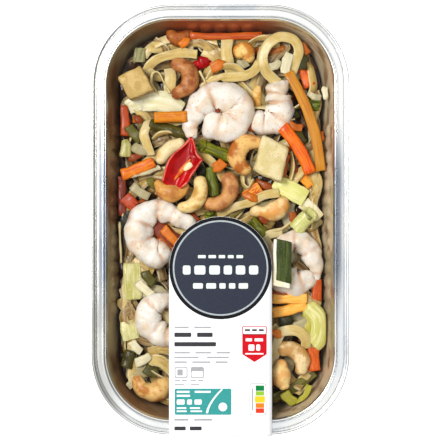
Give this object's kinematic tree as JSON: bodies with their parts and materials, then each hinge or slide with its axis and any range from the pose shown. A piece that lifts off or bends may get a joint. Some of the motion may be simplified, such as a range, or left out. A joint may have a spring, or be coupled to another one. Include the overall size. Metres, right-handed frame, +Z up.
{
  "type": "pad thai ready meal in a foil tray",
  "caption": "Pad thai with prawns, cashews, tofu and vegetables in a fluted foil tray, sealed with clear film and a round-headed paper label.",
  "frame": {"origin": "middle of the tray's flat base, on the surface it stands on", "axes": "+Z up; +Y along the tray's length, from the end the label folds over to the far end; +X across the tray"},
  "size_m": [0.132, 0.2206, 0.0419],
  "materials": {
    "foil": "bright rolled foil, softly creased",
    "film": "clear lidding film",
    "paper": "coated white label paper with printed fields of colour",
    "noodle": "moist flat rice noodle",
    "prawn": "cooked peeled prawn, moist",
    "cashew": "roasted cashew, golden to tan",
    "carrot": "cooked carrot, moist",
    "bean": "cooked green bean",
    "leek": "cooked leek, translucent",
    "courgette": "courgette with dark skin and pale flesh",
    "tofu": "fried tofu, finely pored",
    "chilli": "glossy red chilli skin"
  },
  "bodies": {
    "root": {"tray": "foil", "film": "film", "label": "paper", "noodle_bed": "noodle", "prawn_1": "prawn", "prawn_2": "prawn", "prawn_3": "prawn", "prawn_4": "prawn", "prawn_5": "prawn", "cashew_1": "cashew", "cashew_2": "cashew", "cashew_3": "cashew", "cashew_4": "cashew", "cashew_5": "cashew", "cashew_6": "cashew", "cashew_7": "cashew", "cashew_8": "cashew", "cashew_9": "cashew", "cashew_10": "cashew", "cashew_11": "cashew", "cashew_12": "cashew", "cashew_13": "cashew", "cashew_14": "cashew", "carrot_1": "carrot", "carrot_2": "carrot", "carrot_3": "carrot", "carrot_4": "carrot", "carrot_5": "carrot", "carrot_6": "carrot", "carrot_7": "carrot", "carrot_8": "carrot", "carrot_9": "carrot", "carrot_10": "carrot", "carrot_11": "carrot", "carrot_12": "carrot", "carrot_13": "carrot", "carrot_14": "carrot", "carrot_15": "carrot", "bean_1": "bean", "bean_2": "bean", "bean_3": "bean", "bean_4": "bean", "bean_5": "bean", "bean_6": "bean", "bean_7": "bean", "leek_1": "leek", "leek_2": "leek", "leek_3": "leek", "leek_4": "leek", "leek_5": "leek", "leek_6": "leek", "leek_7": "leek", "leek_8": "leek", "leek_9": "leek", "courgette_1": "courgette", "courgette_2": "courgette", "tofu_1": "tofu", "tofu_2": "tofu", "chilli_1": "chilli", "chilli_2": "chilli"}
  },
  "joints": []
}
